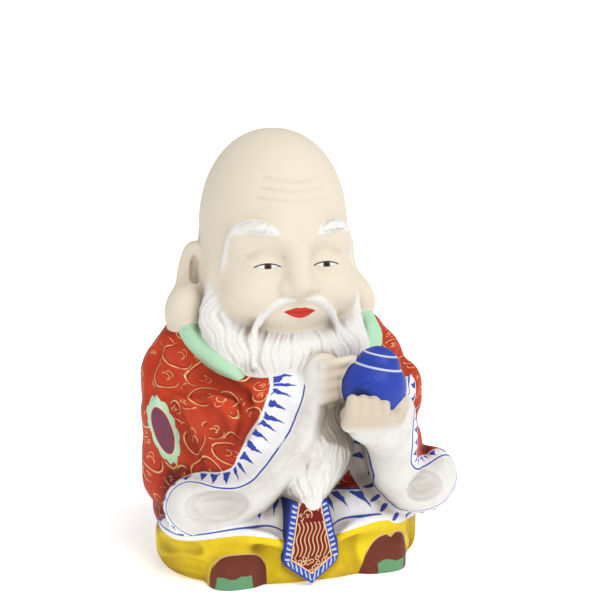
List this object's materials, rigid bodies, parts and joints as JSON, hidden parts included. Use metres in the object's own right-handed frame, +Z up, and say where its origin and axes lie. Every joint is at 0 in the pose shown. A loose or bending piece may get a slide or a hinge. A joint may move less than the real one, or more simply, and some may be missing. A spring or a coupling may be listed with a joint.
{
  "type": "shou lao figurine",
  "caption": "Painted ceramic figure of a seated bald old man with long ear lobes and a white beard, in a wide-sleeved red robe, holding a blue jewel.",
  "frame": {"origin": "on the flat underside, below the middle of the head's width", "axes": "+X to the figure's own left, the figure faces -Y, +Z up"},
  "size_m": [0.1458, 0.1147, 0.2],
  "materials": {
    "painted_bisque": "matt overglaze enamels in red, white, blue, green, yellow and gold on cream bisque"
  },
  "bodies": {
    "root": {"shou_lao_figure": "painted_bisque"}
  },
  "joints": []
}
